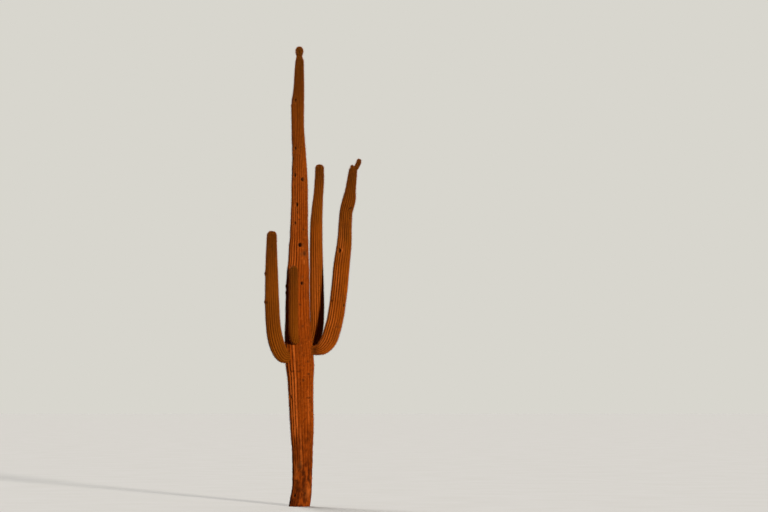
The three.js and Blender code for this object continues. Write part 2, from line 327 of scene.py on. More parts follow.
# Marks on the back: how many, where they lie and how large they are
BACK_HOLES = 6
BACK_SCARS = 16
BACK_HOSTS = ["trunk"] * 4 + ["right_arm", "left_arm", "inner_arm"]
BACK_FOOT = 1.2  # lowest on the trunk
BACK_ARM_FOOT = 4.2  # lowest on an arm
BACK_HEADROOM = 0.9  # how far below a limb's tip they end
BACK_SPREAD = 0.7  # how far to each side, as a share of the radius
BACK_SIZE = (0.022, 0.036)
BACK_STRETCH = (0.9, 1.3)  # height to width

# The outline of a mark, in shares of its own size from its middle
MARK_EDGE = (0.7, 1.08)  # from where it fades to where it ends
RIM_MIDDLE = 1.35
RIM_WIDTH = 0.3
SURROUND_REACH = 1.6  # how far it changes the ribs around it
ROUND_REACH = 0.75
MARK_LIMIT = 0.97  # how far round a limb a mark may lie, as a share of its radius

# Noise on a skin: the size of its lumps, and what it adds to the limb's seed
RIB_WANDER = ((0.25, 0.25, 0.8), 0)
CORK_BORDER = ((0.2, 0.2, 0.5), 5)
RIB_UNEVENNESS = ((0.12, 0.12, 0.6), 9)
SWELLING = (0.16, 13)
GRAIN = (0.05, 17)
BARK_PLATES = ((0.035, 0.035, 0.10), 21)
RAGGED_SEED = 25

# How much each of them does
WANDER_SHARE = 0.2  # of a rib's width
CORK_SWAY = 0.35  # metres by which the cork's border goes up and down
CORK_FADE = (0.75, 1.9)  # heights between which the cork ends
UNEVEN_SHARE = 0.45  # of a rib's depth
SWELL_SHARE = 0.012  # of the radius
GRAIN_HEIGHT = 0.0016
PLATE_HEIGHT = 0.006
CRACK_DEPTH = 0.007
CRACK_EDGE = (0.25, 0.6)
YOUNG_START = 0.1  # distance from the tip within which the skin is youngest
YOUNG_FLATNESS = 0.3  # how much of their depth the ribs lose on the youngest skin
CREST_POWER = 0.85  # under 1 makes the crests broad and the furrows narrow
SMOOTH_LEVEL = 0.75  # where the skin lies between furrow and crest when it is smooth

# Steps along a limb
HEADING_STEP = 0.001
HEIGHT_SAMPLES = 4000
RING_SAMPLES = 6000
# How much closer the rings are than on plain skin
TIP_DENSITY = 2.5
FOOT_DENSITY = 1.5
HOLE_DENSITY = 3.2
MARK_DENSITY = 2.0
DENSE_REACH = 1.5  # how far above and below a mark, in shares of half its height

# Scattering of the numbers of a grid's cells
CELL_PRIMES = (73856093, 19349663, 83492791)
SEED_PRIME = 2654435761
HASH_ROUNDS = ((13, 1274126177), (16, 2246822519))
HASH_LIMIT = 0xFFFFFFFF


def smoothstep(low, high, value):
    t = np.clip((value - low) / (high - low), 0, 1)
    return t * t * (3 - 2 * t)


def scatter(cells, seed):
    """A seeded number between 0 and 1 for each cell of a grid."""
    value = seed * SEED_PRIME
    for axis, prime in enumerate(CELL_PRIMES):
        value = value ^ cells[:, axis] * prime
    for shift, factor in HASH_ROUNDS:
        value = (value ^ (value >> shift)) * factor & HASH_LIMIT
    return value / HASH_LIMIT


def value_noise(points, scale, seed):
    """Smooth noise between -1 and 1 at each point; scale is the size of its lumps."""
    place = points / np.asarray(scale, float)
    cell = np.floor(place).astype(np.int64)
    t = smoothstep(0, 1, place - cell)
    total = np.zeros(len(points))
    for corner in np.ndindex(2, 2, 2):
        weight = np.prod(np.where(corner, t, 1 - t), axis=1)
        total += weight * scatter(cell + corner, seed)
    return 2 * total - 1


def layered_noise(points, scale, seed, layers=3):
    """Noise with finer and weaker noise laid over it."""
    scale = np.asarray(scale, float)
    total = sum(value_noise(points, scale / 2**i, seed + i) / 2**i for i in range(layers))
    return total / (2 - 2 / 2**layers)


def unit(vectors):
    return vectors / np.linalg.norm(vectors, axis=-1, keepdims=True)


class Limb:
    """A ribbed limb that tapers along a smooth path to a domed tip."""

    def __init__(self, name, ribs, points, side, dome_share=1.0):
        self.name = name
        self.is_trunk = name == "trunk"
        self.ribs = ribs
        self.side = np.array(side, float)
        self.stations = np.array(points, float)
        steps = np.linalg.norm(np.diff(self.stations[:, :3], axis=0), axis=1)
        self.along = np.concatenate([[0], np.cumsum(steps)])
        last = len(steps)
        low = np.maximum(np.arange(last + 1) - 1, 0)
        high = np.minimum(np.arange(last + 1) + 1, last)
        rise = self.stations[high] - self.stations[low]
        self.slopes = rise / (self.along[high] - self.along[low])[:, None]
        self.length = self.along[-1]
        self.dome = dome_share * self.stations[-1, 3]
        self.body_end = self.length - self.dome
        self.seed = SEED + sum(map(ord, name))
        self.marks = []

    def at(self, distance):
        """Rows of x, y, z and radius at distances along the path."""
        distance = np.clip(distance, 0, self.length)
        i = np.clip(np.searchsorted(self.along, distance) - 1, 0, len(self.along) - 2)
        span = (self.along[i + 1] - self.along[i])[:, None]
        t = (distance - self.along[i])[:, None] / span
        return (
            (2 * t**3 - 3 * t**2 + 1) * self.stations[i]
            + (t**3 - 2 * t**2 + t) * span * self.slopes[i]
            + (3 * t**2 - 2 * t**3) * self.stations[i + 1]
            + (t**3 - t**2) * span * self.slopes[i + 1]
        )

    def directions(self, distance):
        """The level way across the path, and the other way across, at each distance."""
        if self.is_trunk:
            ahead = np.tile([0.0, 0.0, 1.0], (len(distance), 1))
        else:
            beyond = self.at(distance + HEADING_STEP)[:, :3]
            behind = self.at(distance - HEADING_STEP)[:, :3]
            ahead = unit(beyond - behind)
        across = unit(self.side - ahead * (ahead @ self.side)[:, None])
        return across, np.cross(ahead, across)

    def distance_at(self, height):
        """The last distance along the path at which it passes this height."""
        fine = np.linspace(0, self.length, HEIGHT_SAMPLES)
        below = np.nonzero(self.at(fine)[:, 2] <= height)[0]
        return fine[below[-1]]

    def place_mark(self, height, right, half_width, half_height, kind, facing=-1):
        """Puts a mark on the side that faces the front, or the back where facing is 1."""
        x, y, _, radius = self.at(np.array([self.distance_at(height)]))[0]
        offset = np.clip(right - x, -MARK_LIMIT * radius, MARK_LIMIT * radius)
        depth = facing * math.sqrt(radius**2 - offset**2)
        self.marks.append(((x + offset, y + depth, height), half_width, half_height, kind))

    def rib_depth(self, height):
        """Depth of the furrows at each height, as a share of the radius."""
        if not self.is_trunk:
            return np.full(len(height), DEEP_RIB_DEPTH)
        sound = smoothstep(WORN_HEIGHT, SOUND_HEIGHT, height)
        full = DEEP_RIB_DEPTH + (RIB_DEPTH - DEEP_RIB_DEPTH) * smoothstep(*DEEP_HEIGHT, height)
        return WORN_RIB_DEPTH + (full - WORN_RIB_DEPTH) * sound

    def mark_effects(self, points):
        """How much each kind of change applies at each point of the bare surface."""
        effects = {key: np.zeros(len(points)) for key in NO_CHANGE}
        for centre, half_width, half_height, kind in self.marks:
            offset = points - np.array(centre)
            level = np.hypot(offset[:, 0], offset[:, 1]) / half_width
            away = np.hypot(level, offset[:, 2] / half_height)
            ragged = RAGGED_HOLE if kind == "hole" else RAGGED_MARK
            away *= 1 + ragged * value_noise(points, half_width, self.seed + RAGGED_SEED)
            inside = 1 - smoothstep(*MARK_EDGE, away)
            rim = np.exp(-(((away - RIM_MIDDLE) / RIM_WIDTH) ** 2))
            near = np.exp(-((away / SURROUND_REACH) ** 4))
            if kind in SOFT_MARKS:
                inside = near = np.exp(-(away**2))
            elif kind in ROUND_MARKS:
                inside = np.exp(-((away / ROUND_REACH) ** 2))
            values = NO_CHANGE | MARK_KINDS[kind]
            effects["dent"] += values["dent"] * inside
            effects["rim"] += values["rim"] * rim
            for key in ("smooth", "deep", "dark", "callus", "pale"):
                weight = inside if key == "dark" else near
                effects[key] = np.maximum(effects[key], values[key] * weight)
        return effects

    def noise(self, points, kind, make=value_noise):
        """One kind of the limb's noise at each point."""
        scale, seed = kind
        return make(points, scale, self.seed + seed)

    def cork_at(self, points):
        """How corky the skin is: fully at the trunk's foot, and nowhere on an arm."""
        if not self.is_trunk:
            return np.zeros(len(points))
        border = points[:, 2] + CORK_SWAY * self.noise(points, CORK_BORDER, layered_noise)
        return 1 - smoothstep(*CORK_FADE, border)

    def youth_at(self, distance):
        """How young the skin is: 1 at the tip and all over a bud."""
        if self.name in BUDS:
            return np.ones(len(distance))
        young = 1 - smoothstep(YOUNG_START, YOUNG_LENGTH[self.name], self.length - distance)
        return np.maximum(young, YOUTH.get(self.name, 0))

    def paleness(self, place, height, crest, marks):
        """How far the skin pales: in pale marks, and as a painted highlight on some crests."""
        pale = np.maximum(marks["pale"], DEEP_CREST_HIGHLIGHT * marks["deep"] * crest**2)
        # painted highlight on the crests of the listed ribs
        for number, low, high, strength in HIGHLIGHTED_RIBS if self.is_trunk else []:
            along = smoothstep(low - HIGHLIGHT_FADE, low + HIGHLIGHT_FADE, height)
            along *= 1 - smoothstep(high - HIGHLIGHT_FADE, high + HIGHLIGHT_FADE, height)
            on_rib = np.round(place) % self.ribs == number
            pale = np.maximum(pale, strength * along * on_rib * crest)
        return pale

    def relief(self, points, cork, marks):
        """How far grain, bark and marks lift the skin, in metres."""
        grain = GRAIN_HEIGHT * self.noise(points, GRAIN, layered_noise)
        plates = self.noise(points, BARK_PLATES, layered_noise)
        cracks = smoothstep(*CRACK_EDGE, np.abs(plates))
        bark = cork * (PLATE_HEIGHT * plates - CRACK_DEPTH * cracks)
        return grain + bark + marks["rim"] - marks["dent"]

    def surface(self, theta, distance):
        """Places on the skin, and what its colour depends on there."""
        rows = self.at(distance)
        centre, radius = rows[:, :3], rows[:, 3]
        across, up = self.directions(distance)
        over = np.clip((distance - self.body_end) / self.dome, 0, 1)
        closing = np.sqrt(1 - over**2)
        radial = np.cos(theta)[:, None] * across + np.sin(theta)[:, None] * up
        bare = centre + radial * (radius * closing)[:, None]
        marks = self.mark_effects(bare)

        rib_width = 2 * math.pi / self.ribs
        place = theta / rib_width
        crest = np.abs(np.cos(math.pi * (place - np.round(place)))) ** CREST_POWER
        wander = WANDER_SHARE * rib_width * self.noise(bare, RIB_WANDER)
        radial = np.cos(theta + wander)[:, None] * across + np.sin(theta + wander)[:, None] * up

        height = bare[:, 2]
        cork = self.cork_at(bare)
        young = self.youth_at(distance)
        depth = self.rib_depth(height) * (1 - TIP_RIB_FADE * over) * (1 - YOUNG_FLATNESS * young)
        depth *= 1 + marks["deep"]
        depth *= 1 + UNEVEN_SHARE * self.noise(bare, RIB_UNEVENNESS)
        shown_crest = crest + (SMOOTH_LEVEL - crest) * marks["smooth"]
        swell = 1 + SWELL_SHARE * self.noise(bare * [0, 0, 1], SWELLING)
        relief = self.relief(bare, cork, marks) * closing
        r = radius * closing * swell * (1 - depth * (1 - shown_crest)) + relief
        places = centre + radial * r[:, None]
        looks = {
            "crest": shown_crest,
            "cork": cork,
            "young": young,
            "dark": marks["dark"],
            "callus": marks["callus"],
            "pale": self.paleness(place, height, crest, marks),
        }
        return places, radial, looks

    def ring_distances(self, count):
        """Distances of the rings: even along the limb, closer at marks and over the tip."""
        fine = np.linspace(0, self.body_end, RING_SAMPLES)
        height = self.at(fine)[:, 2]
        density = np.ones(len(fine))
        if self.is_trunk:
            density[height > HEIGHT - 2 * BUD_HEIGHT] = TIP_DENSITY
            density[height < SOUND_HEIGHT] = FOOT_DENSITY
        for centre, _, half_height, kind in self.marks:
            if kind not in SOFT_MARKS:
                near = np.abs(height - centre[2]) < DENSE_REACH * half_height
                finer = HOLE_DENSITY if kind == "hole" else MARK_DENSITY
                density[near] = np.maximum(finer, density[near])
        walked = np.concatenate([[0], np.cumsum((density[1:] + density[:-1]) / 2)])
        body = np.interp(np.linspace(0, walked[-1], count - DOME_RINGS), walked, fine)
        quarter = np.arange(1, DOME_RINGS) / DOME_RINGS * math.pi / 2
        return np.concatenate([body, self.body_end + self.dome * np.sin(quarter)])


def make_limbs():
    """Every limb with its marks, by name."""
    points = [(side, 0, height, radius) for height, radius, side in TRUNK_STATIONS]
    limbs = {"trunk": Limb("trunk", TRUNK_RIBS, points, (1, 0, 0), TRUNK_TIP_RISE)}
    for name, arm in ARMS.items():
        turn = math.radians(arm["bearing"])
        points = [
            (out * math.cos(turn), out * math.sin(turn), height, radius)
            for out, height, radius in ARM_STATIONS[name]
        ]
        side = (math.sin(turn), -math.cos(turn), 0)
        limbs[name] = Limb(name, arm["ribs"], points, side)
    for name, marks in MARKS.items():
        for mark in marks:
            limbs[name].place_mark(*mark)
    add_back_marks(limbs)
    return limbs


def add_back_marks(limbs):
    """A few nest holes and scars on the side that faces away, by a seeded rule."""
    rng = np.random.default_rng(SEED)
    for i in range(BACK_HOLES + BACK_SCARS):
        name = BACK_HOSTS[rng.integers(len(BACK_HOSTS))]
        limb = limbs[name]
        low = BACK_FOOT if name == "trunk" else BACK_ARM_FOOT
        height = rng.uniform(low, limb.stations[-1, 2] - BACK_HEADROOM)
        x, _, _, radius = limb.at(np.array([limb.distance_at(height)]))[0]
        right = x + rng.uniform(-BACK_SPREAD, BACK_SPREAD) * radius
        size = rng.uniform(*BACK_SIZE)
        kind = "hole" if i < BACK_HOLES else "scar"
        limb.place_mark(height, right, size, size * rng.uniform(*BACK_STRETCH), kind, facing=1)


# Meshes


def add_object(name, data):
    """A new object in the scene."""
    made = bpy.data.objects.new(name, data)
    bpy.context.scene.collection.objects.link(made)
    return made


def make_mesh(name, vertices, faces, corners, smooth, materials, material_index=None):
    """A mesh object: faces is a flat list of vertex numbers, corners how many each face has."""
    mesh = bpy.data.meshes.new(name)
    mesh.vertices.add(len(vertices))
    mesh.vertices.foreach_set("co", np.asarray(vertices, np.float32).ravel())
    mesh.loops.add(len(faces))
    mesh.loops.foreach_set("vertex_index", np.asarray(faces, np.int32))
    mesh.polygons.add(len(corners))
    starts = np.concatenate([[0], np.cumsum(corners)[:-1]])
    mesh.polygons.foreach_set("loop_start", starts.astype(np.int32))
    if material_index is not None:
        mesh.polygons.foreach_set("material_index", np.asarray(material_index, np.int32))
    mesh.update(calc_edges=True)
    mesh.polygons.foreach_set("use_smooth", np.full(len(corners), smooth))
    mesh.validate()
    for material in materials:
        mesh.materials.append(material)
    return add_object(name, mesh)


def set_attribute(mesh, name, values):
    """A number for each vertex, which materials read by its name."""
    attribute = mesh.attributes.new(name, "FLOAT", "POINT")
    attribute.data.foreach_set("value", np.asarray(values, np.float32))


# The flat map of a skin
STRIP_MARGIN = 0.004
STRIP_TOP = 0.96  # the two ends lie above the strips
END_MIDDLES = (0.25, 0.75)  # how far across the map the start and the tip lie


def lay_flat(piece, rings, around, girth):
    """A flat map of a limb's skin: a few strips side by side, with its two ends above them."""
    strips = max(1, round(math.sqrt((rings[-1] - rings[0]) / girth)))
    rows = len(rings) - 1
    borders = np.round(np.linspace(0, rows, strips + 1)).astype(int)
    strip = np.searchsorted(borders, np.arange(rows), side="right") - 1
    longest = max(rings[borders[1:]] - rings[borders[:-1]])
    foot = rings[borders[strip]]
    height = STRIP_TOP - 2 * STRIP_MARGIN
    low = STRIP_MARGIN + (rings[:-1] - foot) / longest * height
    high = STRIP_MARGIN + (rings[1:] - foot) / longest * height
    width = 1 / strips - 2 * STRIP_MARGIN
    left = strip[:, None] / strips + STRIP_MARGIN + np.arange(around) / around * width
    right = left + width / around
    low = np.broadcast_to(low[:, None], left.shape)
    high = np.broadcast_to(high[:, None], left.shape)
    quads = np.stack([left, low, right, low, right, high, left, high], -1).reshape(-1, 2)
    turn = np.arange(around + 1) / around * 2 * math.pi
    half = (1 - STRIP_TOP) / 2 - STRIP_MARGIN
    level = 1 - half - STRIP_MARGIN
    ends = []
    for middle, first, second in zip(END_MIDDLES, (1, 0), (0, 1)):
        rim = np.stack([middle + half * np.cos(turn), level + half * np.sin(turn)], -1)
        centre = np.tile([middle, level], (around, 1))
        wedge = [centre, rim[first : first + around], rim[second : second + around]]
        ends.append(np.stack(wedge, 1).reshape(-1, 2))
    layer = piece.data.uv_layers.new(name="OFBake")
    layer.uv.foreach_set("vector", np.concatenate([quads, *ends]).astype(np.float32).ravel())


def tube_faces(rings, around):
    """Faces of a tube of rings that closes in two vertices, its start and its tip."""
    column = np.arange(around)
    beside = (column + 1) % around
    rows = np.arange(rings - 1)[:, None] * around
    quads = np.stack(
        [rows + column, rows + beside, rows + around + beside, rows + around + column], -1
    )
    top = (rings - 1) * around
    start = np.full(around, rings * around)
    base = np.stack([start, beside, column], -1)
    cap = np.stack([start + 1, top + column, top + beside], -1)
    faces = np.concatenate([quads.ravel(), base.ravel(), cap.ravel()])
    corners = np.concatenate([np.full(quads.size // 4, 4), np.full(2 * around, 3)])
    return faces, corners


def make_skin(limb, material):
    """The limb's skin: a grid of rings round it, a flat start and a closed tip."""
    rings = limb.ring_distances(RINGS[limb.name])
    ribs = np.arange(limb.ribs)[:, None]
    angles = (ribs + SAMPLES_PER_RIB).ravel() * 2 * math.pi / limb.ribs
    around = len(angles)
    theta = np.tile(angles, len(rings))
    distance = np.repeat(rings, around)
    places, _, looks = limb.surface(theta, distance)
    if limb.is_trunk:
        places[:around, 2] = 0
    start, tip = limb.at(np.array([0.0, limb.length]))[:, :3]
    places = np.vstack([places, start, tip])
    faces, corners = tube_faces(len(rings), around)
    piece = make_mesh(limb.name + "_skin", places, faces, corners, True, [material])
    for key, values in looks.items():
        ends = [values[:around].mean(), values[-around:].mean()]
        set_attribute(piece.data, key, np.concatenate([values, ends]))
    lay_flat(piece, rings, around, 2 * math.pi * limb.stations[:, 3].mean())
    return piece


# Felt pads and spines

AREOLE_SPACING = 0.027
AREOLE_SWAY = 0.2  # share of the spacing by which a pad is off its even place
AREOLE_MARGINS = (0.01, 0.001)  # nearest to a limb's start and to its tip
AREOLE_FLOOR = 0.05  # lowest above the ground
SLOPE_STEP = 0.004  # stride along the skin over which its slope is taken
CROWDED_WIDTH = 0.011  # ribs narrower than this
CROWDED_LOSS = 0.5  # lose this share of their pads
MOST_DARK = 0.35  # darkest skin that still bears pads
MOST_CALLUS = 0.45
CORK_LOSS = 0.8  # share of the pads that is gone from full cork
BURIED_SHARE = 0.95  # of another limb's radius: pads nearer to its middle are left out
BURIED_SAMPLES = 300
BATCH = 2000  # points tested at a time
PAD_SIDES = 5
PAD_HALF_WIDTH = 0.0055
PAD_HALF_LENGTH = 0.0075
PAD_HEIGHT = 0.0045
PAD_SINK = 0.0015  # how far a pad's rim lies under the skin
PAD_SIZES = (0.8, 1.25)
SPINES_PER_AREOLE = 9
CENTRAL_SPINES = 3
SPINE_THICKNESS = 0.0017
CENTRAL_STOUTNESS = 1.15
RADIAL_STOUTNESS = 0.85
SPINE_SIDES = 3
SPINE_LIFT = 0.0015  # how far above the skin a spine starts
SPINE_START = 0.003  # and how far out along its own direction
SPINE_SWAY = 0.35  # radians by which it is off its even place in the ring
SPINE_FLOOR = 0.004  # lowest height of a tip
CORK_SHORTENING = 0.45  # how much of their length spines lose on full cork
UPRIGHT = 0.9  # a direction with more rise than this is taken as upright
SPINE_SPLIT = 5.2  # height at which the trunk's spines are shared between two pieces
CENTRAL_TILT = (0.5, 1.0)  # from straight out of the skin, in radians
CENTRAL_LENGTH = (0.024, 0.038)
RADIAL_TILT = (1.0, 1.4)
RADIAL_LENGTH = (0.014, 0.025)


def areole_rows(limb, rng):
    """Angle and distance of each felt pad, in a row along the crest of every rib."""
    spots = []
    for rib in range(limb.ribs):
        start = rng.uniform(0, AREOLE_SPACING)
        along = np.arange(start, limb.length - 2 * AREOLE_MARGINS[1], AREOLE_SPACING)
        sway = rng.uniform(-AREOLE_SWAY, AREOLE_SWAY, len(along))
        along = along + sway * AREOLE_SPACING
        spots.append(np.stack([np.full(len(along), rib * 2 * math.pi / limb.ribs), along], 1))
    spots = np.concatenate(spots)
    low, high = AREOLE_MARGINS[0], limb.length - AREOLE_MARGINS[1]
    return spots[(spots[:, 1] > low) & (spots[:, 1] < high)].T


def areoles_of(limb, others, rng):
    """Where the felt pads sit: on every rib, away from holes and junctions."""
    theta, distance = areole_rows(limb, rng)
    over = np.clip((distance - limb.body_end) / limb.dome, 0, 1)
    rib_width = limb.at(distance)[:, 3] * np.sqrt(1 - over**2) * 2 * math.pi / limb.ribs
    crowded = rib_width < CROWDED_WIDTH
    place, radial, looks = limb.surface(theta, distance)
    ahead_place = limb.surface(theta, np.minimum(distance + SLOPE_STEP, limb.length))[0]
    back_place = limb.surface(theta, distance - SLOPE_STEP)[0]
    along = unit(ahead_place - back_place)
    normal = unit(radial - along * (radial * along).sum(1, keepdims=True))
    keep = ~(crowded & (rng.random(len(place)) < CROWDED_LOSS))
    keep &= (looks["dark"] < MOST_DARK) & (looks["callus"] < MOST_CALLUS)
    keep &= rng.random(len(place)) > CORK_LOSS * looks["cork"]
    keep &= place[:, 2] > AREOLE_FLOOR
    for other in others:
        keep &= ~buried(place, other)
    spots = dict(place=place, normal=normal, along=along, young=looks["young"], cork=looks["cork"])
    return {key: values[keep] for key, values in spots.items()}


def buried(points, other):
    """Which points lie inside another limb."""
    rows = other.at(np.linspace(0, other.body_end, BURIED_SAMPLES))
    hidden = np.zeros(len(points), bool)
    for begin in range(0, len(points), BATCH):
        part = points[begin : begin + BATCH]
        gaps = np.linalg.norm(part[:, None, :] - rows[None, :, :3], axis=2)
        nearest = gaps.argmin(1)
        hidden[begin : begin + BATCH] = gaps.min(1) < BURIED_SHARE * rows[nearest, 3]
    return hidden


def axes_of(spots):
    """Each spot's place, and its directions outwards, along the limb and across it."""
    place, normal, along = (spots[key][:, None, :] for key in ("place", "normal", "along"))
    return place, normal, along, np.cross(along, normal)


def make_cones(name, vertices, youth, smooth, materials, rng):
    """Many small cones in one mesh, each a ring of vertices and a tip."""
    count, sides = len(vertices), vertices.shape[1] - 1
    side = np.arange(sides)
    pattern = np.stack([side, (side + 1) % sides, np.full(sides, sides)], 1)
    faces = (np.arange(count)[:, None, None] * (sides + 1) + pattern).ravel()
    corners = np.full(count * sides, 3)
    tones = np.repeat(deal_tones(len(materials), youth, rng), sides)
    return make_mesh(name, vertices.reshape(-1, 3), faces, corners, smooth, materials, tones)


def make_pads(name, spots, materials, rng):
    """Low felt domes, one on each areole."""
    place, normal, along, beside = axes_of(spots)
    turn = np.arange(PAD_SIDES) / PAD_SIDES * 2 * math.pi
    size = rng.uniform(*PAD_SIZES, len(place))[:, None, None]
    rim = (
        place
        - PAD_SINK * normal
        + size * PAD_HALF_LENGTH * np.cos(turn)[:, None] * along
        + size * PAD_HALF_WIDTH * np.sin(turn)[:, None] * beside
    )
    top = place + size * PAD_HEIGHT * normal
    vertices = np.concatenate([rim, top], axis=1)
    return make_cones(name, vertices, spots["young"], True, materials, rng)


def spine_lines(spots, rng):
    """Foot, direction and length of every spine; an areole's central ones come first."""
    place, normal, along, beside = axes_of(spots)
    shape = (len(place), SPINES_PER_AREOLE)
    number = np.arange(SPINES_PER_AREOLE)
    central = number < CENTRAL_SPINES
    turn = 2 * math.pi * number / np.where(central, CENTRAL_SPINES, SPINES_PER_AREOLE)
    turn = turn + rng.uniform(0, 2 * math.pi, (len(place), 1))
    turn = turn + rng.uniform(-SPINE_SWAY, SPINE_SWAY, shape)
    tilt = np.where(central, rng.uniform(*CENTRAL_TILT, shape), rng.uniform(*RADIAL_TILT, shape))
    length = np.where(
        central, rng.uniform(*CENTRAL_LENGTH, shape), rng.uniform(*RADIAL_LENGTH, shape)
    )
    length = length * (1 - CORK_SHORTENING * spots["cork"][:, None])
    direction = (
        np.cos(tilt)[..., None] * normal
        + (np.sin(tilt) * np.cos(turn))[..., None] * along
        + (np.sin(tilt) * np.sin(turn))[..., None] * beside
    )
    foot = place + SPINE_LIFT * normal + SPINE_START * direction
    return foot, direction, length[..., None]


def make_spines(name, spots, materials, rng):
    """Three-sided needles: a few stout ones that stand out, and a ring of finer ones."""
    foot, direction, length = spine_lines(spots, rng)
    tip = foot + direction * length
    helper = np.where(np.abs(direction[..., 2:]) < UPRIGHT, [0.0, 0.0, 1.0], [1.0, 0.0, 0.0])
    first = unit(np.cross(direction, helper))
    second = np.cross(direction, first)
    central = np.arange(SPINES_PER_AREOLE) < CENTRAL_SPINES
    stoutness = np.where(central, CENTRAL_STOUTNESS, RADIAL_STOUTNESS)
    half = (SPINE_THICKNESS / 2 * stoutness)[:, None]
    ring = [
        foot + half * (math.cos(a) * first + math.sin(a) * second)
        for a in np.arange(SPINE_SIDES) * 2 * math.pi / SPINE_SIDES
    ]
    above = (tip[..., 2] > SPINE_FLOOR).ravel()
    vertices = np.stack([*ring, tip], axis=2).reshape(-1, SPINE_SIDES + 1, 3)[above]
    youth = np.repeat(spots["young"], SPINES_PER_AREOLE)[above]
    return make_cones(name, vertices, youth, False, materials, rng)


# Materials


def colour(red, green, blue):
    """An sRGB colour, 0 to 255, as the linear colour that shaders use."""
    parts = [c / 255 for c in (red, green, blue)]
    linear = [c / 12.92 if c <= 0.04045 else ((c + 0.055) / 1.055) ** 2.4 for c in parts]
    return (*linear, 1.0)


class Shader:
    """Builds one node material a step at a time."""

    def __init__(self, name, roughness, specular, matte=0.0):
        self.material = bpy.data.materials.new(name)
        self.material.use_nodes = True
        self.tree = self.material.node_tree
        self.bsdf = self.tree.nodes["Principled BSDF"]
        self.bsdf.inputs["Roughness"].default_value = roughness
        self.bsdf.inputs["Diffuse Roughness"].default_value = matte
        self.bsdf.inputs["Specular IOR Level"].default_value = specular
        self.coordinates = self.tree.nodes.new("ShaderNodeTexCoord").outputs["Object"]

    def connect(self, source, socket):
        self.tree.links.new(source, socket)

    def feed(self, sockets, values):
        """Gives each socket its value, or connects it where that is another node's output."""
        for socket, value in zip(sockets, values):
            if isinstance(value, bpy.types.NodeSocket):
                self.connect(value, socket)
            else:
                socket.default_value = value

    def attribute(self, name):
        node = self.tree.nodes.new("ShaderNodeAttribute")
        node.attribute_name = name
        return node.outputs["Fac"]

    def noise(self, size, detail=4, stretch=1.0, rough=0.55):
        """Noise with lumps of this size in metres, stretch times as tall."""
        mapping = self.tree.nodes.new("ShaderNodeMapping")
        mapping.inputs["Scale"].default_value = (1, 1, 1 / stretch)
        self.connect(self.coordinates, mapping.inputs["Vector"])
        node = self.tree.nodes.new("ShaderNodeTexNoise")
        node.inputs["Scale"].default_value = 1 / size
        node.inputs["Detail"].default_value = detail
        node.inputs["Roughness"].default_value = rough
        self.connect(mapping.outputs["Vector"], node.inputs["Vector"])
        return node.outputs["Fac"]

    def ramp(self, source, stops):
        """Maps source through stops: pairs of a position and a grey level or a colour."""
        node = self.tree.nodes.new("ShaderNodeValToRGB")
        elements = node.color_ramp.elements
        while len(elements) < len(stops):
            elements.new(0.5)
        for element, (position, value) in zip(elements, stops):
            element.position = position
            element.color = value if isinstance(value, tuple) else (value, value, value, 1)
        self.connect(source, node.inputs["Fac"])
        return node.outputs["Color"]

    def mix(self, factor, first, second, blend="MIX"):
        """second over first where factor is 1; each is a colour or another node's output."""
        node = self.tree.nodes.new("ShaderNodeMix")
        node.data_type = "RGBA"
        node.blend_type = blend
        self.feed([s for s in node.inputs if s.enabled], (factor, first, second))
        return next(s for s in node.outputs if s.enabled)

    def maths(self, operation, first, second):
        node = self.tree.nodes.new("ShaderNodeMath")
        node.operation = operation
        self.feed(node.inputs, (first, second))
        return node.outputs["Value"]

    def share(self, source, amount):
        return self.maths("MULTIPLY", source, amount)

    def bump(self, source, distance):
        node = self.tree.nodes.new("ShaderNodeBump")
        node.inputs["Distance"].default_value = distance
        self.connect(source, node.inputs["Height"])
        self.connect(node.outputs["Normal"], self.bsdf.inputs["Normal"])

    def paint(self, source):
        self.connect(source, self.bsdf.inputs["Base Color"])
        return self.material


# Skin colours. The young skin's stops are tints, from the oldest to the youngest.
TRUNK_COLOURS = dict(
    # the furrow colour is darker as painted shade between the ribs
    furrow=colour(88, 30, 1),
    flank=colour(122, 50, 3),
    crest=colour(152, 68, 9),
    young=[
        (0, (1, 1, 1)),
        (0.22, (0.96, 1, 1)),
        (0.5, (0.96, 1.04, 1)),
        (0.88, (0.6, 0.8, 0.95)),
        (0.97, (0.36, 0.5, 0.8)),
        (1, (0.32, 0.58, 0.8)),
    ],
    flecks=0.6,
)
ARM_COLOURS = dict(
    # the furrow colour is darker as painted shade between the ribs
    furrow=colour(82, 35, 2),
    flank=colour(122, 57, 3),
    crest=colour(156, 76, 9),
    young=[
        (0, (1, 1, 1)),
        (0.35, (0.74, 0.87, 0.9)),
        (0.85, (0.55, 0.62, 0.8)),
        (1, (0.36, 0.44, 0.6)),
    ],
    flecks=0.25,
)

# Patterns on the skin: size of the lumps, detail, how many times as tall as wide, roughness;
# then the stops of the ramp: where they lie, and a grey level or a colour
PATCHES = (0.35, 4, 2.5), [(0.3, 0.78), (0.7, 1.2)]
STREAKS = (0.022, 3, 9), [(0.35, 0.86), (0.65, 1.12)]
SPECKS = (0.06, 5, 1.6, 0.65), [(0.54, 0.0), (0.66, 1.0)]
FLECKS = (0.045, 4, 1.3, 0.6), [(0.56, 0.0), (0.7, 1.0)]
BARK_STOPS = [(0.36, colour(28, 9, 2)), (0.5, colour(84, 31, 4)), (0.62, colour(140, 62, 11))]
BARK = (0.075, 6, 2.2, 0.62), BARK_STOPS
MOTTLES = (0.04, 4, 3), [(0.35, 0.45), (0.6, 1.0)]
PORES = (0.012, 4, 2.0)
PORE_DEPTH = 0.002
# Patterns that make a border ragged, and how far
RAGGED_CRESTS = (0.03,), 0.6
TEARS = (0.018, 5, 1.4, 0.65), 0.9
